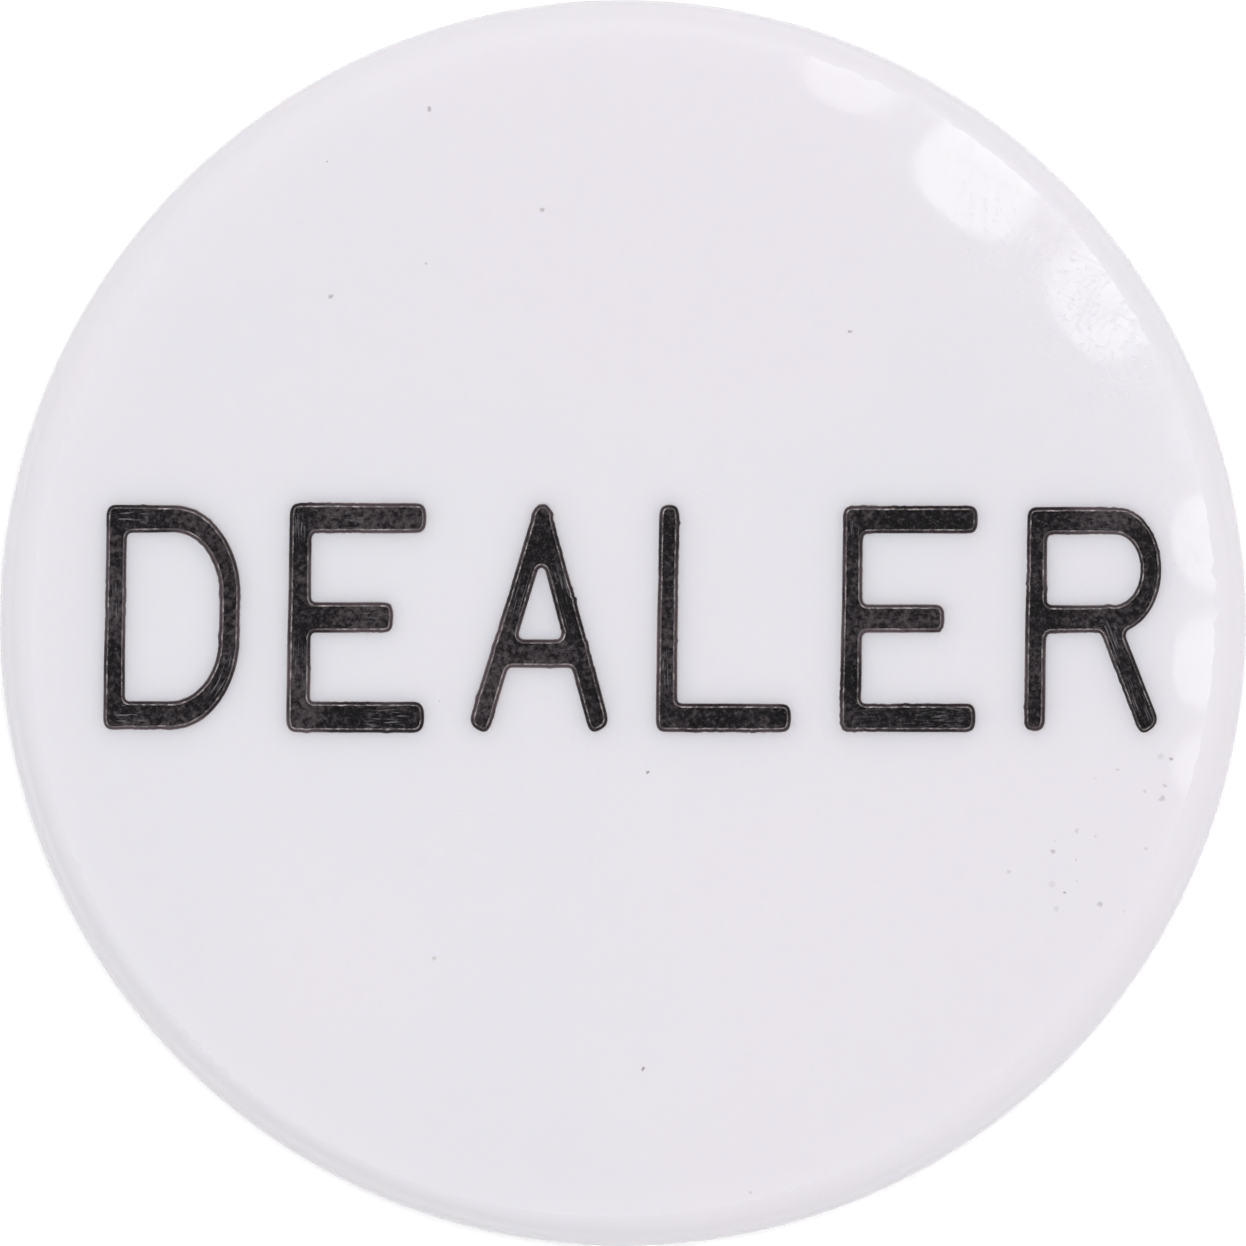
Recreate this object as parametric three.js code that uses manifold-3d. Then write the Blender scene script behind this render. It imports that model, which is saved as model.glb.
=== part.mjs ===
// Double-sided dealer button for a card table: one white acrylic disc with a one-word legend
// engraved in both faces, and a black paint inlay lying in each engraved letter.
// Millimetres, +Z up, origin at the centre of the underside, front legend reading along +X.

import * as THREE from "three";
import { mergeVertices } from "three/addons/utils/BufferGeometryUtils.js";
import Module from "manifold-3d";

// Disc: a flat face, a shallow shoulder down to a crease, then a rounded edge to the side wall.
const DISC_RADIUS = 25.4;
const DISC_THICKNESS = 8;
const FACE_FLAT_RADIUS = 17.8;
const CREASE_RADIUS = 24.15;
const SHOULDER_DROP = 0.35;
const EDGE_DROP = 1.5;
const EDGE_START = THREE.MathUtils.degToRad(25); // where on its ellipse the rounded edge begins
const SHOULDER_STEPS = 4;
const EDGE_STEPS = 5;
const DISC_SEGMENTS = 96;

// Legend: a monoline alphabet drawn with one round stroke and condensed sideways.
const LEGEND = "DEALER";
const LETTER_HEIGHT = 9.2;
const LETTER_WIDTH = 5.5;
const LETTER_PITCH = 7.5;
const LEGEND_CENTRE = { x: 0.4, y: 0.2 }; // the engraver's small error in placing the line
const LEAN = 0.015; // how far a stem leans right for each millimetre of its height
const STROKE = 1.14;
const CONDENSE = 0.735;
const CAP_SQUARENESS = 2.6; // exponent of the superellipse that ends a stroke: 2 is round
const CAP_STEPS = 8;
const BOWL_STEPS = 6; // per quarter turn

// Engraving and paint
const GROOVE_DEPTH = 0.5;
const WALL_DRAFT = 0.12; // how far a groove wall leans in from the face to the floor
const PAINT_RECESS = 0.25; // from the flat face down to the top of the paint
const PAINT_GAP = 0.02; // all round the inlay, so that no two faces coincide
const CUT_CLEARANCE = 1; // how far a cutter stands proud of the face

const WHITE_ACRYLIC = new THREE.MeshStandardMaterial({ color: 0xe8e5ea, roughness: 0.22, metalness: 0 });
const BLACK_PAINT = new THREE.MeshStandardMaterial({ color: 0x19171b, roughness: 0.45, metalness: 0 });

// The letters' centre lines lie in a box that is this wide and high before condensing.
const BOX_WIDTH = LETTER_WIDTH / CONDENSE - STROKE;
const BOX_HEIGHT = LETTER_HEIGHT - STROKE;

const wasm = await Module();
wasm.setup();

// ---- solids -------------------------------------------------------------------------------

function toSolid(geometry) {
  geometry.deleteAttribute("normal");
  geometry.deleteAttribute("uv");
  const merged = mergeVertices(geometry, 1e-5);
  const vertProperties = new Float32Array(merged.attributes.position.array);
  const triVerts = new Uint32Array(merged.index.array);
  return new wasm.Manifold(new wasm.Mesh({ numProp: 3, vertProperties, triVerts }));
}

function toGeometry(solid) {
  const mesh = solid.getMesh();
  const geometry = new THREE.BufferGeometry();
  geometry.setAttribute("position", new THREE.BufferAttribute(mesh.vertProperties, 3));
  geometry.setIndex(new THREE.BufferAttribute(mesh.triVerts, 1));
  geometry.computeVertexNormals();
  return geometry;
}

// ---- disc ---------------------------------------------------------------------------------

// The lower half of the section, from the axis outwards. Both faces have the same profile.
function halfProfile() {
  const points = [new THREE.Vector2(0, 0)];
  for (let i = 0; i <= SHOULDER_STEPS; i += 1) {
    const t = i / SHOULDER_STEPS;
    const radius = THREE.MathUtils.lerp(FACE_FLAT_RADIUS, CREASE_RADIUS, t);
    points.push(new THREE.Vector2(radius, SHOULDER_DROP * t * t));
  }
  for (let i = 1; i <= EDGE_STEPS; i += 1) {
    const angle = THREE.MathUtils.lerp(EDGE_START, Math.PI / 2, i / EDGE_STEPS);
    const out = (Math.sin(angle) - Math.sin(EDGE_START)) / (1 - Math.sin(EDGE_START));
    const down = 1 - Math.cos(angle) / Math.cos(EDGE_START);
    const radius = THREE.MathUtils.lerp(CREASE_RADIUS, DISC_RADIUS, out);
    points.push(new THREE.Vector2(radius, SHOULDER_DROP + EDGE_DROP * down));
  }
  return points;
}

function discSolid() {
  const lower = halfProfile();
  const upper = lower.map((point) => new THREE.Vector2(point.x, DISC_THICKNESS - point.y)).reverse();
  const geometry = new THREE.LatheGeometry([...lower, ...upper], DISC_SEGMENTS);
  return toSolid(geometry.rotateX(Math.PI / 2));
}

// ---- alphabet -----------------------------------------------------------------------------

// Centre lines, as fractions of the box from its lower left corner. A stroke with a bowl runs
// right from (0, top), round two quarter turns of the given radius, and back left to (0, bottom).
const ARM_LEVEL = 0.5;
const LETTERS = {
  D: [
    { line: [0, 0, 0, 1] },
    { bowl: { top: 1, bottom: 0, radius: 3.2 } },
  ],
  E: [
    { line: [0, 0, 0, 1] },
    { line: [0, 1, 1, 1] },
    { line: [0, ARM_LEVEL, 0.72, ARM_LEVEL] },
    { line: [0, 0, 1, 0] },
  ],
  A: [
    { line: [0, 0, 0.5, 1] },
    { line: [0.5, 1, 1, 0] },
    { line: [0.16, 0.32, 0.84, 0.32] },
  ],
  L: [
    { line: [0, 0, 0, 1] },
    { line: [0, 0, 1, 0] },
  ],
  R: [
    { line: [0, 0, 0, 1] },
    { bowl: { top: 1, bottom: ARM_LEVEL, radius: (BOX_HEIGHT * (1 - ARM_LEVEL)) / 2 } },
    { line: [0.62, ARM_LEVEL, 0.97, 0] },
  ],
};

function inBox(x, y) {
  return new THREE.Vector2((x - 0.5) * BOX_WIDTH, (y - 0.5) * BOX_HEIGHT);
}

function bowlCentreLine({ top, bottom, radius }) {
  const upperLeft = inBox(0, top);
  const lowerLeft = inBox(0, bottom);
  const turnX = BOX_WIDTH / 2 - radius;
  const points = [upperLeft];
  for (const [centreY, start] of [[upperLeft.y - radius, Math.PI / 2], [lowerLeft.y + radius, 0]]) {
    for (let i = 0; i <= BOWL_STEPS; i += 1) {
      const angle = start - (i / BOWL_STEPS) * (Math.PI / 2);
      const point = new THREE.Vector2(Math.cos(angle), Math.sin(angle)).multiplyScalar(radius);
      points.push(point.add(new THREE.Vector2(turnX, centreY)));
    }
  }
  points.push(lowerLeft);
  return points.filter((point, i) => i === 0 || point.distanceTo(points[i - 1]) > 1e-6);
}

function centreLine(stroke) {
  if (stroke.bowl) return bowlCentreLine(stroke.bowl);
  const [x0, y0, x1, y1] = stroke.line;
  return [inBox(x0, y0), inBox(x1, y1)];
}

// ---- stroke outlines ----------------------------------------------------------------------

function directionAt(points, i) {
  const before = points[Math.max(i - 1, 0)];
  const after = points[Math.min(i + 1, points.length - 1)];
  return after.clone().sub(before).normalize();
}

// The points of a blunt round end, from the right-hand side of the direction to the left.
function capPoints(end, direction) {
  const points = [];
  const side = new THREE.Vector2(direction.y, -direction.x);
  for (let i = 0; i <= CAP_STEPS; i += 1) {
    const angle = (i / CAP_STEPS) * Math.PI;
    const across = Math.sign(Math.cos(angle)) * Math.abs(Math.cos(angle)) ** (2 / CAP_SQUARENESS);
    const along = Math.sin(angle) ** (2 / CAP_SQUARENESS);
    const offset = side.clone().multiplyScalar(across).addScaledVector(direction, along);
    points.push(end.clone().addScaledVector(offset, STROKE / 2));
  }
  return points;
}

// Anticlockwise round one stroke: its right side, its end, its left side and its start.
function strokeShape(stroke) {
  const line = centreLine(stroke);
  const last = line.length - 1;
  const right = [];
  const left = [];
  for (let i = 1; i < last; i += 1) {
    const direction = directionAt(line, i);
    const side = new THREE.Vector2(direction.y, -direction.x).multiplyScalar(STROKE / 2);
    right.push(line[i].clone().add(side));
    left.unshift(line[i].clone().sub(side));
  }
  const endCap = capPoints(line[last], directionAt(line, last));
  const startCap = capPoints(line[0], directionAt(line, 0).negate());
  const outline = [...right, ...endCap, ...left, ...startCap];
  return new THREE.Shape(outline.map(({ x, y }) => new THREE.Vector2(x * CONDENSE + y * LEAN, y)));
}

// ---- engraving and paint ------------------------------------------------------------------

// A letter's cutter stands on the groove floor and leans outwards to the face. Inset shrinks it.
function letterCutter(letter, inset) {
  const strokes = LETTERS[letter].map((stroke) => {
    const geometry = new THREE.ExtrudeGeometry(strokeShape(stroke), {
      depth: CUT_CLEARANCE,
      bevelThickness: GROOVE_DEPTH,
      bevelSize: WALL_DRAFT,
      bevelOffset: -WALL_DRAFT - inset,
      bevelSegments: 1,
    });
    return toSolid(geometry.translate(0, 0, DISC_THICKNESS));
  });
  return strokes.reduce((sum, solid) => sum.add(solid));
}

function paintSolid(letter) {
  const floor = DISC_THICKNESS - GROOVE_DEPTH + PAINT_GAP;
  const top = DISC_THICKNESS - PAINT_RECESS;
  const slab = new THREE.BoxGeometry(LETTER_WIDTH * 2, LETTER_HEIGHT * 2, top - floor);
  slab.translate(0, 0, (top + floor) / 2);
  return letterCutter(letter, PAINT_GAP).intersect(toSolid(slab));
}

function letterX(index) {
  return LEGEND_CENTRE.x + (index - (LEGEND.length - 1) / 2) * LETTER_PITCH;
}

// The back carries the same legend, turned half a turn about the disc's upright middle line.
const TURNED_OVER = new THREE.Matrix4().set(
  -1, 0, 0, 0,
  0, 1, 0, 0,
  0, 0, -1, DISC_THICKNESS,
  0, 0, 0, 1,
);
const SIDES = { front: new THREE.Matrix4(), back: TURNED_OVER };

function placed(solid, index, side) {
  const geometry = toGeometry(solid);
  geometry.translate(letterX(index), LEGEND_CENTRE.y, 0);
  return geometry.applyMatrix4(side);
}

// E comes twice in the legend, so its inlays are numbered.
function inlayName(side, index) {
  const letter = LEGEND[index];
  const repeats = LEGEND.split(letter).length - 1 > 1;
  const number = LEGEND.slice(0, index + 1).split(letter).length - 1;
  return `${side}_fill_${letter.toLowerCase()}${repeats ? number : ""}`;
}

// ---- the button ---------------------------------------------------------------------------

const group = new THREE.Group();
let body = discSolid();

for (const [sideName, side] of Object.entries(SIDES)) {
  [...LEGEND].forEach((letter, index) => {
    body = body.subtract(toSolid(placed(letterCutter(letter, 0), index, side)));
    const inlay = new THREE.Mesh(placed(paintSolid(letter), index, side), BLACK_PAINT.clone());
    inlay.name = inlayName(sideName, index);
    group.add(inlay);
  });
}

const disc = new THREE.Mesh(toGeometry(body), WHITE_ACRYLIC);
disc.name = "button_body";
group.add(disc);

export default group;
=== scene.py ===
"""Looks of the double-sided dealer button: a polished white acrylic disc, engraved in both
faces, with an uneven film of black paint in every engraved letter.

Lengths in this file are millimetres in the CAD model's own frame, unless a name says metres.
"""

import math

import bpy
import numpy as np
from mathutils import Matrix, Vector, noise
from mathutils.geometry import delaunay_2d_cdt
from mathutils.kdtree import KDTree


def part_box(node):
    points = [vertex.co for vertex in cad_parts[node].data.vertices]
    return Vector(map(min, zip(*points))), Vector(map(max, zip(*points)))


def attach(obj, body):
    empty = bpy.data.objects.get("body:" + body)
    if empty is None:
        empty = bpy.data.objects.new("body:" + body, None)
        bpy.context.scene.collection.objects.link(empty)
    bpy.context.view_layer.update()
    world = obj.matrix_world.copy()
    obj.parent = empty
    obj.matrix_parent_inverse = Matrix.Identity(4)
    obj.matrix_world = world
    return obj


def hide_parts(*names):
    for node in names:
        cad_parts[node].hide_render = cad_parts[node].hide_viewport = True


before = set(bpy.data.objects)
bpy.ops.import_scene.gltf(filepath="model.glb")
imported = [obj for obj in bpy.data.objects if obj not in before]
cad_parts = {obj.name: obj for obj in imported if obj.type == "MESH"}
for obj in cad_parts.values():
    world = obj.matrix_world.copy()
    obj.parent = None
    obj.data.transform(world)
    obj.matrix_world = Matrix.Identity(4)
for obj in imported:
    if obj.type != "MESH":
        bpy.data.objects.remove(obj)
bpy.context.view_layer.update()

# ---- sizes --------------------------------------------------------------------------------

METRES = 0.001  # one millimetre

BODY_LOW, BODY_HIGH = (np.array(corner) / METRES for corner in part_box("button_body"))
DISC_RADIUS = (BODY_HIGH[0] - BODY_LOW[0]) / 2
THICKNESS = BODY_HIGH[2] - BODY_LOW[2]

# The section of the disc, as in the CAD model
FACE_FLAT_RADIUS = 0.7008 * DISC_RADIUS
CREASE_RADIUS = 0.951 * DISC_RADIUS
SHOULDER_DROP = 0.35
EDGE_DROP = 1.5
EDGE_START = math.radians(25)  # where on its ellipse the rounded edge begins
SHOULDER_RINGS = 26
EDGE_RINGS = 16
WALL_RINGS = 10
AROUND = 720  # points in a ring

# The legend, as in the CAD model
LEGEND = "DEALER"
LETTER_HEIGHT = 9.2
LETTER_WIDTH = 5.5
LETTER_PITCH = 7.5
LEGEND_CENTRE = (0.4, 0.2)
LEAN = 0.015  # how far a stem leans right for each millimetre of its height
STROKE = 1.14
CONDENSE = 0.735
CAP_SQUARENESS = 2.6  # exponent of the superellipse that ends a stroke: 2 is round
ARM_LEVEL = 0.5
BOX_WIDTH = LETTER_WIDTH / CONDENSE - STROKE
BOX_HEIGHT = LETTER_HEIGHT - STROKE

GROOVE_DEPTH = 0.5
INNER_CORNER = 0.22  # radius left by the engraver's cutter where two strokes meet

# The engraver's and the polisher's small errors
LINE_SLOPE = -0.002  # rise of the legend's line for each millimetre to the right
HEAVY_LETTER = 1  # this letter's strokes are cut wider than the others'
HEAVY_BY = 0.045  # on each side of the stroke
UNEVEN_WEIGHT = 0.008
FOOT_WEIGHT = 0.010  # how much wider than at the middle a stroke is at its foot, on each side
UNEVEN_HEIGHT = 0.008
WOBBLES = ((7.0, 0.007), (3.1, 0.004))  # wavelength and size of the cutter's wander
EDGE_ROUGHNESS = 0.011
CHIP_EVERY = 9.0
CREASE_WOBBLE = 0.075
CREASE_OVAL = 0.2
OVAL_AZIMUTH = 50.0  # in degrees
NICKS = 14
NICK_DEPTHS = (0.01, 0.045)
NICK_SIZES = (0.2, 0.5)

# How finely outlines and surfaces are drawn
GRID_PITCH = 0.05
OUTLINE_SPACING = 0.065
FLOOR_SPACING = 0.075
FACE_SPACING = 1.1
OUTLINE_CLEARANCE = 0.3  # between the letters' outlines and the face's free points

# The crease's waves: how many go round the disc, and how many are added together
CREASE_WAVES = (50, 230)
CREASE_WAVE_SETS = 14

# Shares of the oval and of the wobble in the crease and the rings beyond it
CREASE_SHARES = [(1.0, 1.0), (0.85, 0.5), (0.65, 0.15), (0.45, 0.0), (0.25, 0.0), (0.1, 0.0)]

# Rings of a groove in the acrylic: outward offset, depth, and share of the edge's straying
GROOVE_SECTION = [
    (0.10, 0.0, 0.9),
    (0.035, 0.0, 1.0),
    (0.012, 0.006, 1.0),
    (0.0, 0.028, 1.0),
    (-0.05, 0.25, 0.85),
    (-0.11, GROOVE_DEPTH, 0.6),
]

# Rings of the paint film, as for the groove: its open side from the lip down to the floor,
# and its hidden side, just clear of the acrylic
PAINT_SECTION = [
    (0.004, 0.018, 1.0),
    (-0.012, 0.026, 1.0),
    (-0.055, 0.12, 0.85),
    (-0.095, 0.24, 0.75),
    (-0.125, 0.33, 0.65),
    (-0.15, 0.382, 0.6),
    (-0.18, 0.408, 0.55),
    (-0.215, 0.418, 0.5),
]
HIDDEN_SECTION = [(-0.01, 0.06, 1.0), (-0.115, 0.494, 0.6)]
FLOOR_DEPTH = 0.42
MOTTLE = 0.018  # how uneven the paint's level on the floor is

# ---- looks --------------------------------------------------------------------------------

COOL_WHITE = (0.772, 0.761, 0.802)
WARM_WHITE = (0.788, 0.758, 0.804)
DIRT = (0.25, 0.19, 0.18)
PIT_DEPTH = 0.0065
SCRATCH_DEPTH = 0.0012
SCRATCH_ANGLES = (24, -63)  # in degrees
PEEL_HEIGHT = 0.0005

# Shades of the paint on a groove's floor, from where it lies thick to where dust covers it
FLOOR_SHADES = [
    (0.38, (0.0015, 0.001, 0.002)),
    (0.48, (0.008, 0.006, 0.008)),
    (0.57, (0.034, 0.028, 0.032)),
    (0.70, (0.072, 0.060, 0.064)),
]
# Shades of the thin paint on a wall, by share of the groove's depth
WALL_SHADES = [
    (0.03, (0.26, 0.20, 0.20)),
    (0.14, (0.15, 0.12, 0.13)),
    (0.46, (0.15, 0.125, 0.135)),
]
THICK_PAINT = (0.006, 0.005, 0.006)
FOOT_HIGHLIGHT_COLOUR = (0.86, 0.78, 0.79)  # painted highlight in the corner at a wall's foot, for the light that the paint's fillet catches
SCRAPED_PAINT = (0.17, 0.16, 0.17)
DUST = (0.14, 0.125, 0.13)
STREAK_HEIGHT = 0.010
GRAIN_HEIGHT = 0.012
BLOTCH_HEIGHT = 0.012

HANDLED_PLACE = (20.3, -9.0, THICKNESS)  # where the face has picked up most dirt
RUBBED_PLACE = (19.4, 13.2, THICKNESS)  # where it is most pitted and scratched
FINGER_CENTRE = (21.0, 10.5, THICKNESS)
HIGHLIGHT_FACING = (0.35, -0.95, 0.0)  # walls that face this way get the brightest painted highlight at their foot

# ---- light and camera ---------------------------------------------------------------------

FLOOR_REACH = 4.0  # in metres
FLOOR_GLOW = 0.11
ROOM_ZENITH = 0.56  # the room's brightness overhead, as a share of white
ROOM_HORIZON = 0.38
ROOM_TILT = 0.16  # how much brighter it is on its bright side
ROOM_SIDE = 68.0  # azimuth of the bright side, in degrees
OVERHEAD = 0.50  # irradiance as a share of that of an all-white room
LAMP_DISTANCE = 1.5  # in metres
LAMP_INNER = 0.88  # share of a lamp's radius that is evenly bright
LAMP_COLOUR = (0.94, 1.0, 0.94)

# Each lamp is placed by where the shoulder mirrors it to the camera: azimuth in degrees, then
# its image's radius and half-size as shares of the disc's radius, and its radiance
LAMPS = [
    (67.4, 0.969, 0.082, 2.2),
    (51.4, 0.931, 0.107, 3.3),
    (34.0, 0.942, 0.101, 3.2),
    (18.2, 0.958, 0.045, 0.7),
    (8.0, 0.963, 0.080, 2.8),
    (-3.9, 0.957, 0.080, 2.6),
    (-13.9, 0.958, 0.053, 2.0),
]

CAMERA_HEIGHT = 2.0  # in metres

# ---- the alphabet -------------------------------------------------------------------------

# Centre lines, as fractions of the letter's box. A bowl runs right from its top, round two
# quarter turns of its radius, and back left to its bottom.
LETTERS = {
    "D": [("line", 0, 0, 0, 1), ("bowl", 1, 0, 3.2)],
    "E": [
        ("line", 0, 0, 0, 1),
        ("line", 0, 1, 1, 1),
        ("line", 0, ARM_LEVEL, 0.72, ARM_LEVEL),
        ("line", 0, 0, 1, 0),
    ],
    "A": [("line", 0, 0, 0.5, 1), ("line", 0.5, 1, 1, 0), ("line", 0.16, 0.32, 0.84, 0.32)],
    "L": [("line", 0, 0, 0, 1), ("line", 0, 0, 1, 0)],
    "R": [
        ("line", 0, 0, 0, 1),
        ("bowl", 1, ARM_LEVEL, BOX_HEIGHT * (1 - ARM_LEVEL) / 2),
        ("line", 0.62, ARM_LEVEL, 0.97, 0),
    ],
}


def in_box(x, y):
    return (x - 0.5) * BOX_WIDTH, (y - 0.5) * BOX_HEIGHT


def blunt_distance(across, beyond):
    return (np.abs(across) ** CAP_SQUARENESS + beyond**CAP_SQUARENESS) ** (1 / CAP_SQUARENESS)


def line_coordinates(u, v, x0, y0, x1, y1):
    """Distance from a straight centre line, and how far along it and across it each point is."""
    start, end = np.array(in_box(x0, y0)), np.array(in_box(x1, y1))
    length = np.hypot(*(end - start))
    direction = (end - start) / length
    along = (u - start[0]) * direction[0] + (v - start[1]) * direction[1]
    across = (v - start[1]) * direction[0] - (u - start[0]) * direction[1]
    beyond = np.maximum(np.maximum(-along, along - length), 0)
    return blunt_distance(across, beyond), along, across


def bowl_coordinates(u, v, top, bottom, radius):
    """The same for a bowl's centre line."""
    y_top, y_bottom = in_box(0, top)[1], in_box(0, bottom)[1]
    middle = (y_top + y_bottom) / 2
    straight = (y_top - y_bottom) / 2 - radius
    turn_x = BOX_WIDTH / 2 - radius
    right = np.maximum(u - turn_x, 0)
    up = np.maximum(np.abs(v - middle) - straight, 0)
    across = np.hypot(right, up) - radius
    before = np.maximum(-BOX_WIDTH / 2 - u, 0)
    turned = np.arctan2(v - middle, np.maximum(u - turn_x, 1e-6)) * radius
    along = np.where(u < turn_x, u - turn_x, turned)
    return blunt_distance(across, before), along, across


def stroke_coordinates(letter, u, v):
    """Nearest stroke's distance, along and across coordinates and number, in the drawn frame."""
    kinds = {"line": line_coordinates, "bowl": bowl_coordinates}
    found = [kinds[kind](u, v, *numbers) for kind, *numbers in LETTERS[letter]]
    nearest = np.argmin([f[0] for f in found], axis=0)
    picked = [np.choose(nearest, [f[k] for f in found]) for k in range(3)]
    return (*picked, nearest)


# ---- outlines -----------------------------------------------------------------------------


def iso_loops(xs, ys, field):
    """Closed loops where a field over a grid passes zero, walked from triangle to triangle."""
    corner = np.arange(field.size).reshape(field.shape)
    a, b, c, d = corner[:-1, :-1], corner[1:, :-1], corner[1:, 1:], corner[:-1, 1:]
    halves = [np.stack(half, -1).reshape(-1, 3) for half in ((a, b, c), (a, c, d))]
    triangles = np.concatenate(halves)
    value = field.ravel()
    inside = value < 0
    mixed = inside[triangles].sum(1) % 3 != 0
    links = {}
    for p, q, r in triangles[mixed].tolist():
        sides = [tuple(sorted(side)) for side in ((p, q), (q, r), (r, p))]
        one, two = [side for side in sides if inside[side[0]] != inside[side[1]]]
        links.setdefault(one, []).append(two)
        links.setdefault(two, []).append(one)
    where = np.stack(np.meshgrid(xs, ys, indexing="ij"), -1).reshape(-1, 2)
    loops = []
    while links:
        here = next(iter(links))
        loop = []
        while here is not None:
            near, far = here
            share = value[near] / (value[near] - value[far])
            loop.append(where[near] + share * (where[far] - where[near]))
            onward = [side for side in links.pop(here) if side in links]
            here = onward[0] if onward else None
        loops.append(np.array(loop))
    return loops


def evenly_spaced(loop, spacing):
    """The same closed loop with evenly spaced points, smoothed over its neighbours."""
    closed = np.vstack([loop, loop[:1]])
    length = np.concatenate([[0], np.cumsum(np.hypot(*np.diff(closed, axis=0).T))])
    count = max(int(round(length[-1] / spacing)), 12)
    at = np.linspace(0, length[-1], count, endpoint=False)
    points = np.stack([np.interp(at, length, closed[:, k]) for k in range(2)], -1)
    for _ in range(2):
        points = (np.roll(points, 1, 0) + 2 * points + np.roll(points, -1, 0)) / 4
    return points


def signed_area(loop):
    x, y = loop.T
    return 0.5 * np.sum(x * np.roll(y, -1) - np.roll(x, -1) * y)


def distance_from(line, points):
    """How far each point is from the nearest point of a line."""
    tree = KDTree(len(line))
    for number, place in enumerate(line):
        tree.insert((*place, 0), number)
    tree.balance()
    return np.array([tree.find((*point, 0))[2] for point in points])


def letter_outline(letter):
    """The loops round one engraved letter, outer loop first, with the groove on their left."""
    margin = STROKE
    us = np.arange(-BOX_WIDTH / 2 - margin, BOX_WIDTH / 2 + margin, GRID_PITCH)
    vs = np.arange(-BOX_HEIGHT / 2 - margin, BOX_HEIGHT / 2 + margin, GRID_PITCH)
    u, v = np.meshgrid(us, vs, indexing="ij")
    field = stroke_coordinates(letter, u, v)[0] - STROKE / 2
    grown = np.concatenate(iso_loops(us, vs, field - INNER_CORNER))
    reach = distance_from(grown, np.stack([u, v], -1).reshape(-1, 2)).reshape(u.shape)
    closed = np.where(field < INNER_CORNER, INNER_CORNER - reach, INNER_CORNER + reach)
    loops = []
    for loop in iso_loops(us, vs, closed):
        loop[:, 0] = loop[:, 0] * CONDENSE + loop[:, 1] * LEAN
        loops.append(evenly_spaced(loop, OUTLINE_SPACING))
    loops.sort(key=lambda loop: -abs(signed_area(loop)))
    for i, loop in enumerate(loops):
        if (signed_area(loop) > 0) != (i == 0):
            loops[i] = loop[::-1].copy()
    return loops


def outward(loop):
    """Unit normals that point away from the groove, onto the face."""
    tangent = np.roll(loop, -1, 0) - np.roll(loop, 1, 0)
    normal = np.stack([tangent[:, 1], -tangent[:, 0]], -1)
    return normal / np.linalg.norm(normal, axis=1, keepdims=True)


def holds(loops, points):
    """Whether each point lies inside an odd number of the loops."""
    odd = np.zeros(len(points), bool)
    for loop in loops:
        x0, y0 = loop.T
        x1, y1 = np.roll(loop, -1, 0).T
        steep = np.where(y1 == y0, 1e-12, y1 - y0)
        for start in range(0, len(points), 2000):
            px, py = points[start : start + 2000].T[:, :, None]
            crosses = ((y0 > py) != (y1 > py)) & (px < (x1 - x0) * (py - y0) / steep + x0)
            odd[start : start + 2000] ^= crosses.sum(1) % 2 == 1
    return odd


# ---- ragged edges -------------------------------------------------------------------------


def smoothed(values):
    return (np.roll(values, 1) + 2 * values + np.roll(values, -1)) / 4


def ragged(loop, rng):
    """How far the cut edge strays outward at each point of a loop: a slow wobble of the
    cutter's path, a finer roughness in a few stretches, small chips, and one torn place."""
    count = len(loop)
    turn = np.arange(count) / count
    length = count * OUTLINE_SPACING
    stray = np.zeros(count)
    for wavelength, size in WOBBLES:
        waves = max(1, round(length / wavelength))
        stray += size * np.sin(2 * math.pi * (waves * turn + rng.random()))
    comes = np.zeros(count)
    for _ in range(3):
        comes += np.sin(2 * math.pi * (rng.integers(1, 7) * turn + rng.random()))
    stray += EDGE_ROUGHNESS * smoothed(rng.normal(0, 1, count)) * np.clip(0.2 + 0.7 * comes, 0.15, 1.6)
    for _ in range(max(1, int(length / CHIP_EVERY))):
        away = np.abs((turn - rng.random() + 0.5) % 1 - 0.5) * length
        stray += rng.uniform(0.01, 0.05) * np.exp(-((away / rng.uniform(0.06, 0.2)) ** 2))
    away = np.abs((turn - rng.random() + 0.5) % 1 - 0.5) * length
    torn = np.abs(smoothed(rng.normal(0, 1, count))) * np.exp(-((away / 0.35) ** 2))
    return stray + rng.uniform(0.01, 0.07) * torn


# ---- mesh building ------------------------------------------------------------------------


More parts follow.
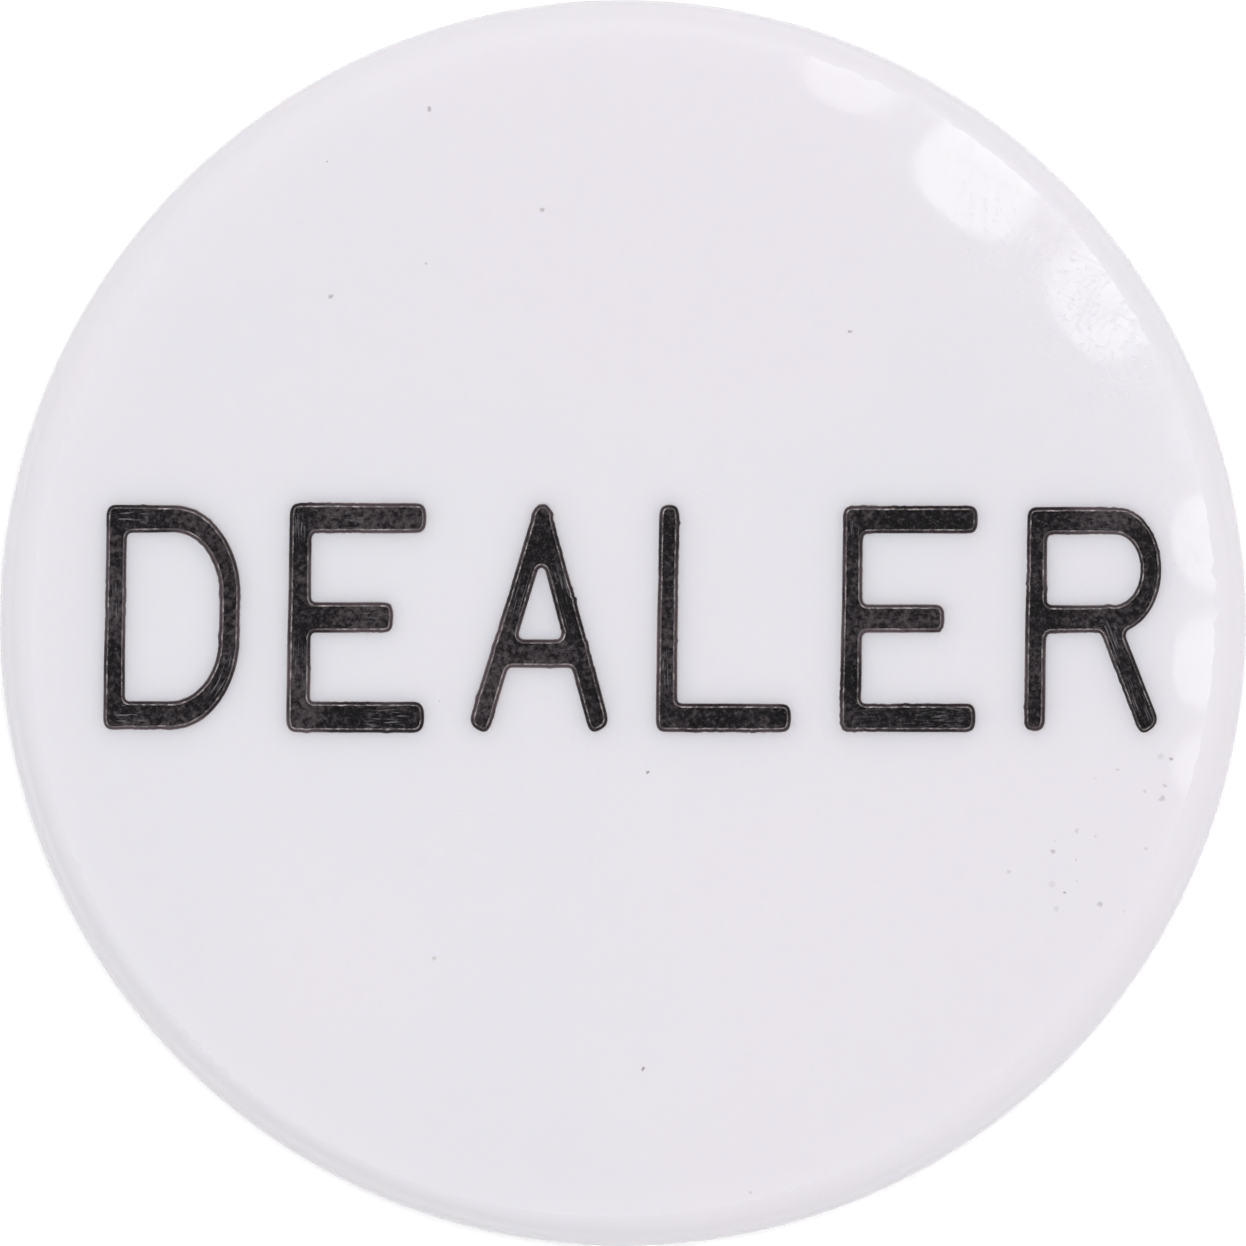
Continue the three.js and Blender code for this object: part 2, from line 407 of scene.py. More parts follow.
class Surface:
    """Vertices and faces of one piece. While `back` is set, what is added is turned over onto
    the back face, half a turn about the disc's upright middle line."""

    def __init__(self):
        self.points = []
        self.faces = []
        self.count = 0
        self.back = False

    def add(self, xy, z):
        """Adds points and returns their numbers."""
        block = np.column_stack([xy, np.broadcast_to(z, len(xy))])
        if self.back:
            block = block * (-1, 1, -1) + (0, 0, THICKNESS)
        self.points.append(block)
        self.count += len(block)
        return np.arange(self.count - len(block), self.count)

    def turned(self):
        """The signs of x and y on the side that is being built."""
        return (-1, 1) if self.back else (1, 1)

    def strip(self, outer, inner):
        """Quads between two closed rings with as many points each, facing up."""
        quads = np.stack([outer, np.roll(outer, -1), np.roll(inner, -1), inner], -1)
        self.faces += quads.tolist()

    def patch(self, rings, loops, free, free_z, flip=False):
        """Triangles over the area that the loops bound, by way of some free points as well.
        The rings are the numbers of the loops' points."""
        numbers = np.concatenate([*rings, self.add(free, free_z)])
        flat = np.concatenate([*loops, free])
        edges = []
        first = 0
        for ring in rings:
            edges += [(first + i, first + (i + 1) % len(ring)) for i in range(len(ring))]
            first += len(ring)
        cut = delaunay_2d_cdt([Vector(point) for point in flat], edges, [], 0, 1e-6)
        where = np.array([point[:] for point in cut[0]])
        if len(where) != len(flat):
            raise ValueError("an outline crosses itself")
        triangles = np.array(cut[2])
        triangles = triangles[holds(loops, where[triangles].mean(1))]
        source = np.array([found[0] for found in cut[3]])
        kept = numbers[source[triangles]]
        self.faces += (kept[:, ::-1] if flip else kept).tolist()

    def build(self, name):
        """A smooth-shaded object of the surface, in metres."""
        mesh = bpy.data.meshes.new(name)
        mesh.from_pydata((np.concatenate(self.points) * METRES).tolist(), [], self.faces)
        mesh.shade_smooth()
        obj = bpy.data.objects.new(name, mesh)
        bpy.context.scene.collection.objects.link(obj)
        return obj


def shoulder_drop(xy):
    """How far the face has fallen at each point, from its flat middle to the crease."""
    share = (np.hypot(*xy.T) - FACE_FLAT_RADIUS) / (CREASE_RADIUS - FACE_FLAT_RADIUS)
    return SHOULDER_DROP * np.maximum(share, 0) ** 2


def height_at(xy, depth):
    """The height of points at a depth below the face. A groove's lip follows the shoulder,
    and its floor is level."""
    return THICKNESS - depth - shoulder_drop(xy) * (1 - depth / GROOVE_DEPTH)


# ---- the cuts -----------------------------------------------------------------------------


class Cut:
    """One engraved letter on one side: its outline loops, how much wider than drawn it is cut,
    and how its edge strays."""

    def __init__(self, index, outline, rng):
        self.letter = LEGEND[index]
        across = (index - (len(LEGEND) - 1) / 2) * LETTER_PITCH
        self.centre = (LEGEND_CENTRE[0] + across, LEGEND_CENTRE[1] + LINE_SLOPE * across)
        taller = 1 + rng.uniform(-UNEVEN_HEIGHT, UNEVEN_HEIGHT)
        weight = rng.uniform(-UNEVEN_WEIGHT, UNEVEN_WEIGHT) + HEAVY_BY * (index == HEAVY_LETTER)
        self.loops = [loop * (1, taller) + self.centre for loop in outline]
        self.normals = [outward(loop) for loop in self.loops]
        self.weights = [weight - FOOT_WEIGHT * loop[:, 1] * 2 / LETTER_HEIGHT for loop in outline]
        self.strays = [ragged(loop, rng) for loop in self.loops]

    def moved(self, offset, share):
        """The loops moved outward by an offset, and by a share of the edge's own straying."""
        parts = zip(self.loops, self.normals, self.weights, self.strays)
        return [
            loop + normal * (offset + weight + share * stray)[:, None]
            for loop, normal, weight, stray in parts
        ]


def piece_names(side):
    """The inlays' names on one side. E comes twice in the legend, so its inlays are numbered."""
    names = []
    for index, letter in enumerate(LEGEND):
        repeat = LEGEND[: index + 1].count(letter) if LEGEND.count(letter) > 1 else ""
        names.append(f"{side}_fill_{letter.lower()}{repeat}")
    return names


OUTLINES = {letter: letter_outline(letter) for letter in sorted(LETTERS)}
RANDOM = {"front": np.random.default_rng(11), "back": np.random.default_rng(23)}
CUTS = {
    side: [Cut(i, OUTLINES[letter], rng) for i, letter in enumerate(LEGEND)]
    for side, rng in RANDOM.items()
}


# ---- the acrylic disc ---------------------------------------------------------------------


def groove(surface, cut):
    """Adds a groove's walls and floor, and returns the ring and loop at the top of each wall."""
    above = None
    for offset, depth, share in GROOVE_SECTION:
        loops = cut.moved(offset, share)
        rings = [surface.add(loop, height_at(loop, depth)) for loop in loops]
        if above is None:
            top = rings, loops
        else:
            for outer, inner in zip(above, rings):
                surface.strip(outer, inner)
        above = rings
    surface.patch(above, loops, np.zeros((0, 2)), 0)
    return top


def face_points(cuts, rng):
    """Free points that carry the face's shape between the grooves and the crease."""
    half = np.arange(-FACE_FLAT_RADIUS, FACE_FLAT_RADIUS, FACE_SPACING)
    grid = np.stack(np.meshgrid(half, half), -1).reshape(-1, 2)
    grid = grid + rng.uniform(-0.3, 0.3, grid.shape) * FACE_SPACING
    grid = grid[np.hypot(*grid.T) < FACE_FLAT_RADIUS - FACE_SPACING / 2]
    angle = 4 * math.pi * np.arange(AROUND // 2) / AROUND
    reach = CREASE_RADIUS + crease_oval(angle) - FACE_FLAT_RADIUS
    shares = np.arange(SHOULDER_RINGS) / SHOULDER_RINGS
    radii = FACE_FLAT_RADIUS + shares[:, None] * reach
    shoulder = np.stack([radii * np.cos(angle), radii * np.sin(angle)], -1).reshape(-1, 2)
    free = np.concatenate([grid, shoulder])
    outlines = [loop for cut in cuts for loop in cut.loops]
    clear = distance_from(np.concatenate(outlines), free) > OUTLINE_CLEARANCE
    return free[clear & ~holds(outlines, free)]


def edge_profile():
    """Radius and height from the front's crease, round the edge and the side wall, to the
    back's crease. The rounded edge is part of an ellipse that starts at a slope."""
    angle = np.linspace(EDGE_START, math.pi / 2, EDGE_RINGS + 1)
    out = (np.sin(angle) - math.sin(EDGE_START)) / (1 - math.sin(EDGE_START))
    down = 1 - np.cos(angle) / math.cos(EDGE_START)
    radius = CREASE_RADIUS + (DISC_RADIUS - CREASE_RADIUS) * out
    drop = SHOULDER_DROP + EDGE_DROP * down
    wall = np.linspace(THICKNESS - drop[-1], drop[-1], WALL_RINGS + 1)[1:-1]
    radii = [*radius, *[DISC_RADIUS] * len(wall), *radius[::-1]]
    return list(zip(radii, [*(THICKNESS - drop), *wall, *drop[::-1]]))


def mark_sharp(obj, rings):
    """Marks closed rings of vertices as creases."""
    mesh = obj.data
    pairs = np.zeros(len(mesh.edges) * 2, int)
    mesh.edges.foreach_get("vertices", pairs)
    ends = np.sort(pairs.reshape(-1, 2), 1)
    wanted = set()
    for ring in rings:
        wanted |= {tuple(sorted(pair)) for pair in zip(ring.tolist(), np.roll(ring, -1).tolist())}
    flags = mesh.attributes.new("sharp_edge", "BOOLEAN", "EDGE")
    flags.data.foreach_set("value", [tuple(pair) in wanted for pair in ends.tolist()])


def crease_oval(angle):
    """How far the crease, which is a little oval, lies outside its circle."""
    return CREASE_OVAL * np.cos(2 * (angle - math.radians(OVAL_AZIMUTH)))


def crease_wobble(rng):
    """How far a crease strays outward from its oval, all round."""
    angle = 2 * math.pi * np.arange(AROUND) / AROUND
    waves = [
        np.sin(rng.integers(*CREASE_WAVES) * angle + 2 * math.pi * rng.random())
        for _ in range(CREASE_WAVE_SETS)
    ]
    slow = 0.6 + 0.4 * np.sin(5 * angle + 2 * math.pi * rng.random())
    return CREASE_WOBBLE / math.sqrt(len(waves)) * slow * np.sum(waves, 0)


def shell_rings(rng):
    """Points of the rounded edges and the side wall, ring by ring from the front's crease to
    the back's. The polishing left each crease a little wavy, and use left nicks in the edges."""
    profile = edge_profile()
    angle = 2 * math.pi * np.arange(AROUND) / AROUND
    outward_xy = np.stack([np.cos(angle), np.sin(angle)], -1)
    rings = [np.column_stack([radius * outward_xy, np.full(AROUND, z)]) for radius, z in profile]
    rings = np.array(rings)
    slope = 2 * SHOULDER_DROP / (CREASE_RADIUS - FACE_FLAT_RADIUS)
    for order in (1, -1):
        oval = crease_oval(angle if order == 1 else math.pi - angle)
        wobble = crease_wobble(rng)
        for place, (oval_share, wobble_share) in enumerate(CREASE_SHARES):
            ring = place if order == 1 else len(profile) - 1 - place
            stray = oval_share * oval + wobble_share * wobble
            rings[ring] += np.column_stack([stray[:, None] * outward_xy, -order * slope * stray])
    for _ in range(NICKS):
        ring = rng.choice([rng.integers(2, EDGE_RINGS - 2), len(profile) - rng.integers(3, EDGE_RINGS)])
        centre = rings[ring, rng.integers(AROUND)]
        away = np.linalg.norm(rings - centre, axis=2, keepdims=True)
        depth = rng.uniform(*NICK_DEPTHS) * np.exp(-((away / rng.uniform(*NICK_SIZES)) ** 2))
        rings -= depth * np.append(centre[:2] / np.hypot(*centre[:2]), 0)
    return rings


def make_disc():
    surface = Surface()
    rings = shell_rings(RANDOM["front"])
    shell = [surface.add(ring[:, :2], ring[:, 2]) for ring in rings]
    for inner, outer in zip(shell, shell[1:]):
        surface.strip(outer, inner)
    for side, end in (("front", 0), ("back", -1)):
        surface.back = side == "back"
        tops = [shell[end]]
        loops = [rings[end, :, :2] * surface.turned()]
        for cut in CUTS[side]:
            lips, outlines = groove(surface, cut)
            tops += lips
            loops += outlines
        free = face_points(CUTS[side], RANDOM[side])
        surface.patch(tops, loops, free, height_at(free, 0.0))
    disc = surface.build("acrylic_disc")
    mark_sharp(disc, [shell[0], shell[-1]])
    return disc


# ---- the paint ----------------------------------------------------------------------------


def inner_points(loops, rng):
    """Scattered points inside a letter's floor, clear of its edges."""
    low = np.min([loop.min(0) for loop in loops], 0)
    high = np.max([loop.max(0) for loop in loops], 0)
    axes = [np.arange(low[k], high[k], FLOOR_SPACING) for k in range(2)]
    grid = np.stack(np.meshgrid(*axes), -1).reshape(-1, 2)
    grid = grid + rng.uniform(-0.25, 0.25, grid.shape) * FLOOR_SPACING
    grid = grid[holds(loops, grid)]
    return grid[distance_from(np.concatenate(loops), grid) > FLOOR_SPACING * 0.6]


def mottled(points, seed):
    """The paint's uneven level on the floor."""
    broad = [noise.noise(Vector((x * 2.2, y * 2.2, seed))) for x, y in points]
    fine = [noise.noise(Vector((x * 7, y * 7, seed))) for x, y in points]
    return FLOOR_DEPTH + MOTTLE * (0.7 * np.array(broad) + 0.5 * np.array(fine))


def make_paint(name, cut, side, seed):
    """One letter's film. Its points carry the cutter's path: how far along a stroke and across
    it they are, and a number that differs from stroke to stroke."""
    surface = Surface()
    surface.back = side == "back"
    above = None
    for offset, depth, share in PAINT_SECTION:
        loops = cut.moved(offset, share)
        rings = [surface.add(loop, height_at(loop, depth)) for loop in loops]
        if above is None:
            lips = rings
        else:
            for outer, inner in zip(above, rings):
                surface.strip(outer, inner)
        above = rings
    free = inner_points(loops, RANDOM[side])
    surface.patch(above, loops, free, THICKNESS - mottled(free, seed))
    above = lips
    for offset, depth, share in HIDDEN_SECTION:
        loops = cut.moved(offset, share)
        rings = [surface.add(loop, height_at(loop, depth)) for loop in loops]
        for outer, inner in zip(above, rings):
            surface.strip(inner, outer)
        above = rings
    surface.patch(above, loops, np.zeros((0, 2)), 0, flip=True)
    piece = surface.build(name + "_film")
    x, y = (np.concatenate(surface.points)[:, :2] * surface.turned() - cut.centre).T
    _, along, across, stroke = stroke_coordinates(cut.letter, (x - y * LEAN) / CONDENSE, y)
    marks = piece.data.attributes.new("tool_path", "FLOAT_VECTOR", "POINT")
    marks.data.foreach_set("vector", np.column_stack([along, across, stroke * 3.7 + seed]).ravel())
    return piece


# ---- materials ----------------------------------------------------------------------------


def new_material(name):
    material = bpy.data.materials.new(name)
    material.use_nodes = True
    tree = material.node_tree
    tree.nodes.clear()
    output = tree.nodes.new("ShaderNodeOutputMaterial")
    shader = tree.nodes.new("ShaderNodeBsdfPrincipled")
    tree.links.new(shader.outputs["BSDF"], output.inputs["Surface"])
    return material, tree, shader


def node(tree, kind, inputs=(), **settings):
    """Adds a shader node, sets its properties, and sets or links its inputs by name."""
    made = tree.nodes.new("ShaderNode" + kind)
    for key, value in settings.items():
        setattr(made, key, value)
    for key, value in dict(inputs).items():
        if isinstance(value, bpy.types.NodeSocket):
            tree.links.new(value, made.inputs[key])
        else:
            made.inputs[key].default_value = value
    return made


def object_position(tree, scale=1.0):
    """Position in the object's own frame, in millimetres times a scale."""
    coordinates = node(tree, "TexCoord").outputs["Object"]
    scaled = node(tree, "VectorMath", {0: coordinates}, operation="SCALE")
    scaled.inputs["Scale"].default_value = scale / METRES
    return scaled.outputs["Vector"]


def calc(tree, operation, *values):
    return node(tree, "Math", dict(enumerate(values)), operation=operation).outputs["Value"]


def times(tree, first, second):
    return calc(tree, "MULTIPLY", first, second)


def plus(tree, first, *others):
    for other in others:
        first = calc(tree, "ADD", first, other)
    return first


def remap(tree, value, low, high, to_low=0.0, to_high=1.0):
    """A smooth step between two levels of a value."""
    steps = {"Value": value, "From Min": low, "From Max": high, "To Min": to_low, "To Max": to_high}
    return node(tree, "MapRange", steps, interpolation_type="SMOOTHSTEP").outputs["Result"]


def noise_at(tree, vector, scale, detail=2.0, roughness=0.5):
    settings = {"Vector": vector, "Scale": scale, "Detail": detail, "Roughness": roughness}
    return node(tree, "TexNoise", settings).outputs["Fac"]


def stretched(tree, vector, factors):
    return node(tree, "VectorMath", {0: vector, 1: factors}, operation="MULTIPLY").outputs["Vector"]


def mixed(tree, share, first, second):
    """A colour between two others."""
    made = node(tree, "Mix", {0: share}, data_type="RGBA")
    for socket, colour in ((made.inputs[6], first), (made.inputs[7], second)):
        if isinstance(colour, bpy.types.NodeSocket):
            tree.links.new(colour, socket)
        else:
            socket.default_value = (*colour, 1)
    return made.outputs[2]


def ramp(tree, value, *stops):
    """A colour ramp through stops of a position and a colour."""
    made = node(tree, "ValToRGB", {"Fac": value})
    elements = made.color_ramp.elements
    for extra in stops[2:]:
        elements.new(extra[0])
    for element, (position, colour) in zip(elements, sorted(stops)):
        element.position = position
        element.color = (*colour, 1)
    return made.outputs["Color"]


def specks(tree, place, spacing, size, keep):
    """A mask of small round specks, one at most in each cell and only in a share of cells."""
    cells = node(tree, "TexVoronoi", {"Vector": place, "Scale": 1 / spacing}, voronoi_dimensions="2D")
    chance = node(tree, "SeparateColor", {"Color": cells.outputs["Color"]}).outputs
    away = calc(tree, "DIVIDE", cells.outputs["Distance"], calc(tree, "ADD", chance["Green"], 0.3))
    near = remap(tree, away, 0.4 * size / spacing, size / spacing, 1.0, 0.0)
    dark = calc(tree, "ADD", times(tree, chance["Blue"], 0.7), 0.3)
    kept = calc(tree, "LESS_THAN", chance["Red"], keep)
    return times(tree, times(tree, near, dark), kept)


def scratches(tree, position, angle, rarity):
    """A mask of long thin scratches that run in one direction."""
    settings = {"Vector": position, "Angle": math.radians(angle)}
    turned = node(tree, "VectorRotate", settings, rotation_type="Z_AXIS").outputs["Vector"]
    lines = noise_at(tree, stretched(tree, turned, (0.12, 9.0, 1.0)), 1.0, 1.0)
    return remap(tree, lines, rarity, rarity + 0.05)


def near_place(tree, position, place, inner, outer):
    """A mask that fades out between two distances from a place."""
    away = node(tree, "VectorMath", {0: position, 1: place}, operation="DISTANCE").outputs["Value"]
    return remap(tree, away, inner, outer, 1.0, 0.0)


def finger_marks(tree, position):
    """A mask of broken, curved, parallel ridges, as a fingertip leaves on a polished face."""
    from_centre = node(tree, "VectorMath", {0: position, 1: FINGER_CENTRE}, operation="SUBTRACT")
    settings = {
        "Vector": from_centre.outputs["Vector"],
        "Scale": 1.1,
        "Distortion": 3.0,
        "Detail": 2.0,
        "Detail Scale": 0.6,
    }
    ridges = node(tree, "TexWave", settings, wave_type="RINGS", rings_direction="Z").outputs["Fac"]
    patches = remap(tree, noise_at(tree, position, 1.4, 3.0), 0.40, 0.58)
    return times(tree, remap(tree, ridges, 0.5, 0.8), patches)


def place_on_face(tree, position):
    """Position in the plane, moved aside by its height so that the two faces differ, and bent
    a little so that round specks come out irregular."""
    height = node(tree, "SeparateXYZ", {"Vector": position}).outputs["Z"]
    aside = node(tree, "CombineXYZ", {"X": height, "Y": height}).outputs["Vector"]
    moved = node(tree, "VectorMath", {0: position, 1: aside}, operation="ADD").outputs["Vector"]
    bent = node(tree, "TexNoise", {"Vector": position, "Scale": 6.0}).outputs["Color"]
    bent = node(tree, "VectorMath", {0: bent}, operation="SCALE")
    bent.inputs["Scale"].default_value = 0.22
    both = {0: stretched(tree, moved, (1, 1, 0)), 1: bent.outputs["Vector"]}
    return node(tree, "VectorMath", both, operation="ADD").outputs["Vector"]


def dirt_mask(tree, position):
    """Lone specks all over the faces, and a crowd of fainter ones where they are handled."""
    place = place_on_face(tree, position)
    middle = node(tree, "VectorMath", {0: stretched(tree, position, (1, 1, 0))}, operation="LENGTH")
    on_face = remap(tree, middle.outputs["Value"], CREASE_RADIUS - 0.6, CREASE_RADIUS, 1.0, 0.0)
    handled = times(tree, near_place(tree, position, HANDLED_PLACE, 1.5, 6.0), 0.4)
    lone = specks(tree, place, 4.3, 0.11, 0.16)
    crowd = times(tree, specks(tree, place, 0.85, 0.13, handled), 0.55)
    return times(tree, calc(tree, "MAXIMUM", lone, crowd), on_face)


def add_relief(tree, shader, relief):
    """Links a relief in millimetres to a shader."""
    bump = node(tree, "Bump", {"Height": relief, "Strength": 1.0, "Distance": METRES})
    tree.links.new(bump.outputs["Normal"], shader.inputs["Normal"])


def acrylic_material():
    """White acrylic, dense but a little translucent, with a polished skin."""
    material, tree, shader = new_material("white_acrylic")
    position = object_position(tree)
    clouds = noise_at(tree, position, 0.06)
    tint = ramp(tree, clouds, (0.35, COOL_WHITE), (0.65, WARM_WHITE))
    colour = mixed(tree, times(tree, dirt_mask(tree, position), 0.75), tint, DIRT)
    tree.links.new(colour, shader.inputs["Base Color"])

    rubbed = near_place(tree, position, RUBBED_PLACE, 2.5, 6.5)
    elsewhere = remap(tree, noise_at(tree, position, 0.22), 0.50, 0.70, 0.1, 0.6)
    worn = calc(tree, "MAXIMUM", rubbed, elsewhere)
    pits = times(tree, remap(tree, noise_at(tree, position, 4.5, 2.0), 0.60, 0.68), worn)
    first, second = SCRATCH_ANGLES
    lines = calc(
        tree, "MAXIMUM", scratches(tree, position, first, 0.66), scratches(tree, position, second, 0.68)
    )
    lines = times(tree, lines, worn)
    peel = times(tree, noise_at(tree, position, 1.6), PEEL_HEIGHT)
    relief = calc(tree, "SUBTRACT", peel, times(tree, pits, PIT_DEPTH))
    add_relief(tree, shader, calc(tree, "SUBTRACT", relief, times(tree, lines, SCRATCH_DEPTH)))

    polish = remap(tree, clouds, 0.3, 0.7, 0.015, 0.03)
    touched = times(tree, finger_marks(tree, position), rubbed)
    haze = plus(tree, polish, times(tree, lines, 0.12), times(tree, touched, 0.15))
    tree.links.new(haze, shader.inputs["Roughness"])
    shader.inputs["IOR"].default_value = 1.49
    shader.inputs["Subsurface Weight"].default_value = 0.6
    shader.inputs["Subsurface Radius"].default_value = (1.0, 0.9, 0.8)
    shader.inputs["Subsurface Scale"].default_value = 0.0026
    return material


def wall_colour(tree, position, depth):
    """Thin brownish paint, thick in places, and a painted highlight in dashes in the foot's corner,
    brightest on walls that face one way.
    """
    thin = remap(tree, noise_at(tree, position, 0.35, 4.0), 0.38, 0.62, 0.3, 1.0)
    colour = ramp(tree, calc(tree, "DIVIDE", depth, GROOVE_DEPTH), *WALL_SHADES)
    colour = mixed(tree, thin, THICK_PAINT, colour)
    # painted highlight: near-white dashes at the wall's foot, brightest on walls that face one way, stand
    # in for the light caught by the paint's concave fillet
    normal = node(tree, "NewGeometry").outputs["Normal"]
    facing = node(tree, "VectorMath", {0: normal, 1: HIGHLIGHT_FACING}, operation="DOT_PRODUCT")
    broken = remap(tree, noise_at(tree, position, 3.2, 5.0, 0.7), 0.44, 0.66, 0.12, 1.0)
    broken = times(tree, broken, remap(tree, facing.outputs["Value"], 0.1, 0.7, 0.62, 1.0))
    foot = remap(tree, depth, 0.26, 0.32)
    return mixed(tree, times(tree, foot, broken), colour, FOOT_HIGHLIGHT_COLOUR)


def paint_material():
    """Black paint wiped into the letters: blotchy and dusty on the floor, thin and brownish on the walls,
    and a painted highlight in the corner at their foot, where the paint's fillet catches the light."""
    material, tree, shader = new_material("black_paint")
    position = object_position(tree)
    path = node(tree, "Attribute", attribute_name="tool_path").outputs["Vector"]
    height = node(tree, "SeparateXYZ", {"Vector": position}).outputs["Z"]
    from_middle = calc(tree, "ABSOLUTE", calc(tree, "SUBTRACT", height, THICKNESS / 2))
    depth = calc(tree, "SUBTRACT", THICKNESS / 2, from_middle)

    large = calc(tree, "SUBTRACT", noise_at(tree, position, 0.35, 1.0), 0.5)
    blotches = plus(tree, noise_at(tree, position, 4.2, 5.0, 0.62), times(tree, large, 0.5))
    streaks = noise_at(tree, stretched(tree, path, (1.1, 15.0, 1.0)), 1.0, 3.0)
    stretches = noise_at(tree, stretched(tree, path, (0.3, 0.0, 1.0)), 1.0, 0.0)
    scraped = times(tree, remap(tree, stretches, 0.5, 0.66), remap(tree, streaks, 0.52, 0.68))
    grain = noise_at(tree, position, 11.0, 3.0)
    floor = ramp(tree, blotches, *FLOOR_SHADES)
    floor = mixed(tree, times(tree, remap(tree, grain, 0.60, 0.72), 0.4), floor, DUST)
    floor = mixed(tree, times(tree, scraped, 0.8), floor, SCRAPED_PAINT)
    on_floor = remap(tree, depth, 0.385, 0.410)
    colour = mixed(tree, on_floor, wall_colour(tree, position, depth), floor)
    tree.links.new(colour, shader.inputs["Base Color"])

    relief = plus(
        tree,
        times(tree, streaks, STREAK_HEIGHT),
        times(tree, grain, GRAIN_HEIGHT),
        times(tree, blotches, BLOTCH_HEIGHT),
    )
    add_relief(tree, shader, relief)
    tree.links.new(remap(tree, blotches, 0.42, 0.62, 0.24, 0.5), shader.inputs["Roughness"])
    shader.inputs["IOR"].default_value = 1.5
    shader.inputs["Specular IOR Level"].default_value = 0.2
    return material


# ---- the stage ----------------------------------------------------------------------------


def make_stage():
    """A square of pale paper under the disc."""
    mesh = bpy.data.meshes.new("floor")
    corners = [(x * FLOOR_REACH, y * FLOOR_REACH, 0) for x, y in ((-1, -1), (1, -1), (1, 1), (-1, 1))]
    mesh.from_pydata(corners, [], [(0, 1, 2, 3)])
    floor = bpy.data.objects.new("floor", mesh)
    bpy.context.scene.collection.objects.link(floor)
    material, _, shader = new_material("floor_paper")
    shader.inputs["Base Color"].default_value = (0.93, 0.93, 0.93, 1)
    shader.inputs["Roughness"].default_value = 0.9
    shader.inputs["Emission Color"].default_value = (1, 1, 1, 1)
    shader.inputs["Emission Strength"].default_value = FLOOR_GLOW
    floor.data.materials.append(material)


def make_world():
    """A white room that is dimmer towards the horizon, and brighter on the side of the lamps.
    Seen directly it is plain white, so that no horizon shows behind the floor."""
    world = bpy.data.worlds.new("studio")
    world.use_nodes = True
    tree = world.node_tree
    direction = node(tree, "TexCoord").outputs["Generated"]
    height = node(tree, "SeparateXYZ", {"Vector": direction}).outputs["Z"]
    azimuth = math.radians(ROOM_SIDE)
    towards = (math.cos(azimuth), math.sin(azimuth), 0)
    side = node(tree, "VectorMath", {0: direction, 1: towards}, operation="DOT_PRODUCT").outputs["Value"]
    level = remap(tree, height, 0.0, 0.5, ROOM_HORIZON, ROOM_ZENITH)
    level = calc(tree, "ADD", level, calc(tree, "MULTIPLY", side, ROOM_TILT))
    level = calc(tree, "MAXIMUM", level, node(tree, "LightPath").outputs["Is Camera Ray"])
    background = tree.nodes["Background"]
    background.inputs["Color"].default_value = (1, 1, 1, 1)
    tree.links.new(level, background.inputs["Strength"])
    bpy.context.scene.world = world


def fade(light, inner):
    """Fades a round light from a share of its radius out to its edge."""
    tree = light.node_tree
    place = node(tree, "NewGeometry").outputs["Parametric"]
    away = node(tree, "VectorMath", {0: place, 1: (0.5, 0.5, 0)}, operation="DISTANCE").outputs["Value"]
    tree.links.new(remap(tree, away, inner / 2, 0.5, 1.0, 0.0), tree.nodes["Emission"].inputs["Strength"])


def round_light(name, azimuth, off_vertical, sides, distance, radiance, inner):
    """A round light that faces the disc from a direction. Its sides, across and up, are in
    metres, and its brightness fades out beyond an inner share of its radius."""
    light = bpy.data.lights.new(name, "AREA")
    light.shape = "ELLIPSE"
    light.size, light.size_y = sides
    light.energy = radiance * sides[0] * sides[1] * math.pi**2 / 4
    light.color = LAMP_COLOUR
    light.use_nodes = True
    fade(light, inner)
    lamp = bpy.data.objects.new(name, light)
    direction = Vector((
        math.sin(off_vertical) * math.cos(azimuth),
        math.sin(off_vertical) * math.sin(azimuth),
        math.cos(off_vertical),
    ))
    lamp.location = direction * distance
    lamp.rotation_euler = (-direction).to_track_quat("-Z", "Y").to_euler()
    bpy.context.scene.collection.objects.link(lamp)


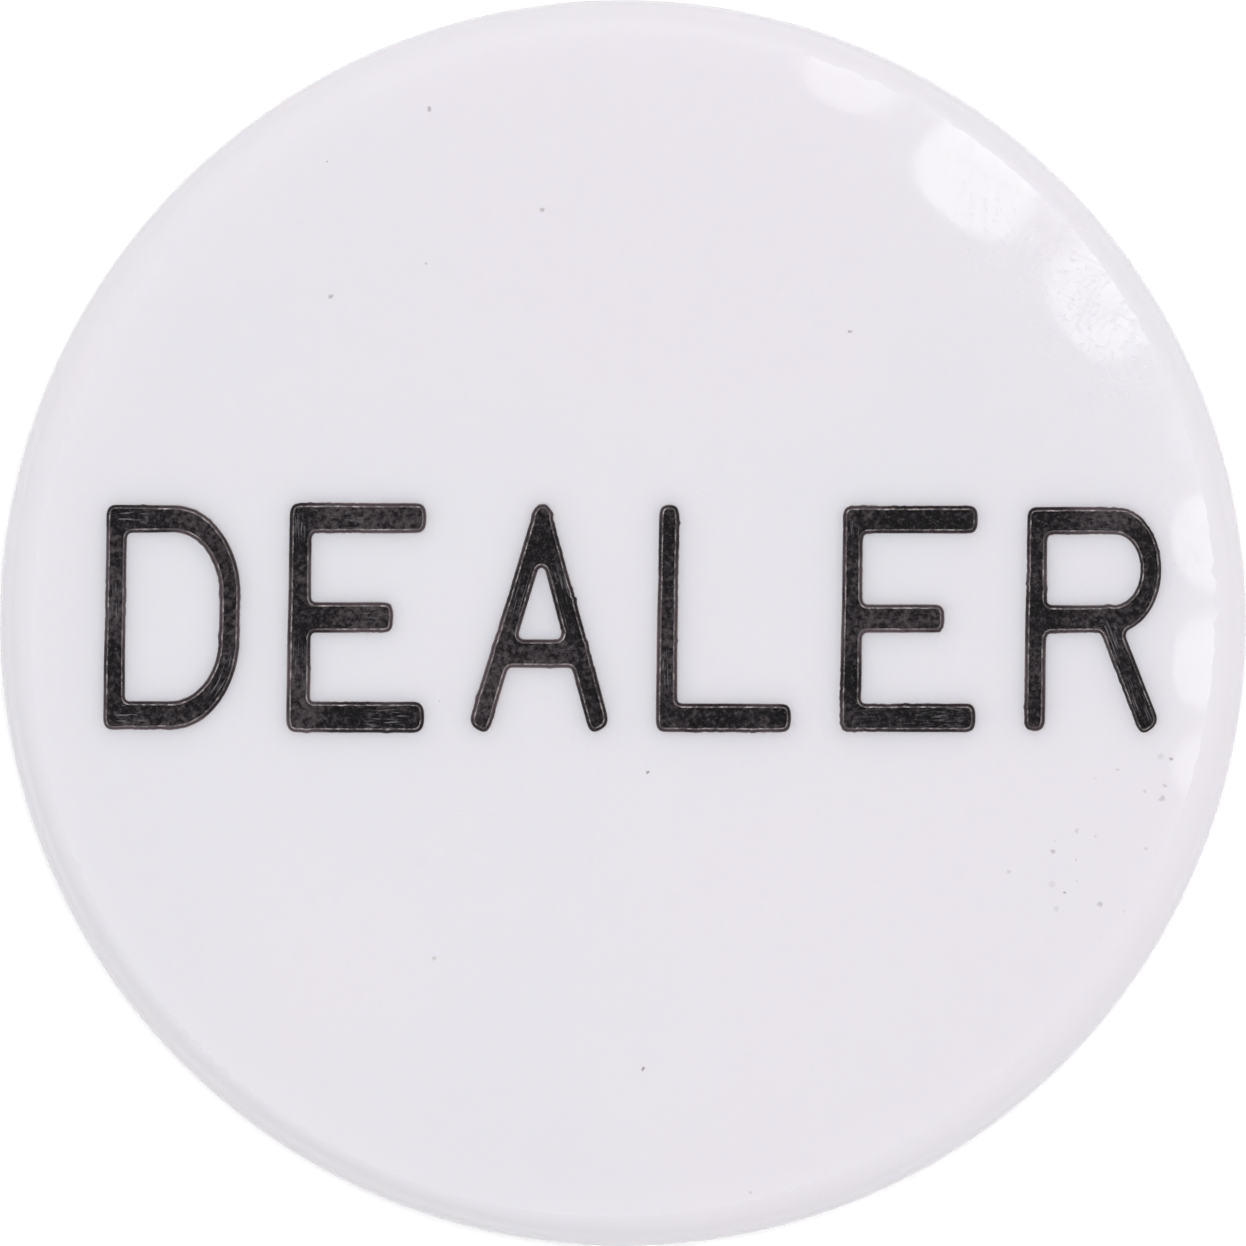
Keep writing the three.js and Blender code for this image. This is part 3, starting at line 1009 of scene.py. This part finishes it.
def mirrored_lamp(name, azimuth, image_radius, image_half, radiance):
    """A small lamp whose mirror image on the shoulder is round, as the camera sees it."""
    radius = image_radius * DISC_RADIUS
    half = image_half * DISC_RADIUS
    parallax = METRES * (1 / CAMERA_HEIGHT + 1 / LAMP_DISTANCE)
    turn_rate = 4 * SHOULDER_DROP / (CREASE_RADIUS - FACE_FLAT_RADIUS) ** 2
    off_vertical = turn_rate * (radius - FACE_FLAT_RADIUS) + parallax * radius
    up = 2 * half * (turn_rate + parallax) * LAMP_DISTANCE
    across = 2 * half / radius * math.sin(off_vertical) * LAMP_DISTANCE
    sides = (across, up)
    round_light(name, math.radians(azimuth), off_vertical, sides, LAMP_DISTANCE, radiance, LAMP_INNER)


def make_overhead():
    """Even light from straight above, which no polished surface mirrors."""
    light = bpy.data.lights.new("overhead", "SUN")
    light.energy = OVERHEAD * math.pi
    light.angle = math.radians(6)
    lamp = bpy.data.objects.new("overhead", light)
    lamp.location = (0, 0, 1)
    lamp.visible_glossy = False
    bpy.context.scene.collection.objects.link(lamp)


def make_lights():
    """Light from overhead, and a row of small round lamps."""
    make_overhead()
    for number, lamp in enumerate(LAMPS):
        mirrored_lamp(f"lamp_{number}", *lamp)


def make_camera():
    """Straight above the disc, with the disc's outline touching the frame's edges."""
    data = bpy.data.cameras.new("camera")
    camera = bpy.data.objects.new("camera", data)
    bpy.context.scene.collection.objects.link(camera)
    camera.location = (0, 0, CAMERA_HEIGHT)
    widest = (THICKNESS - SHOULDER_DROP - EDGE_DROP) * METRES
    slope = DISC_RADIUS * METRES / (CAMERA_HEIGHT - widest)
    data.lens = data.sensor_width / 2 / slope
    data.clip_end = 20
    bpy.context.scene.camera = camera


# ---- the scene ----------------------------------------------------------------------------

bpy.context.scene.view_settings.view_transform = "Standard"
make_camera()
make_stage()
make_world()
make_lights()

disc = make_disc()
disc.data.materials.append(acrylic_material())
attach(disc, "root")
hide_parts("button_body")

paint = paint_material()
for side, cuts in CUTS.items():
    for number, (name, cut) in enumerate(zip(piece_names(side), cuts)):
        film = make_paint(name, cut, side, seed=number + 7 * len(side))
        film.data.materials.append(paint)
        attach(film, "root")
        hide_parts(name)
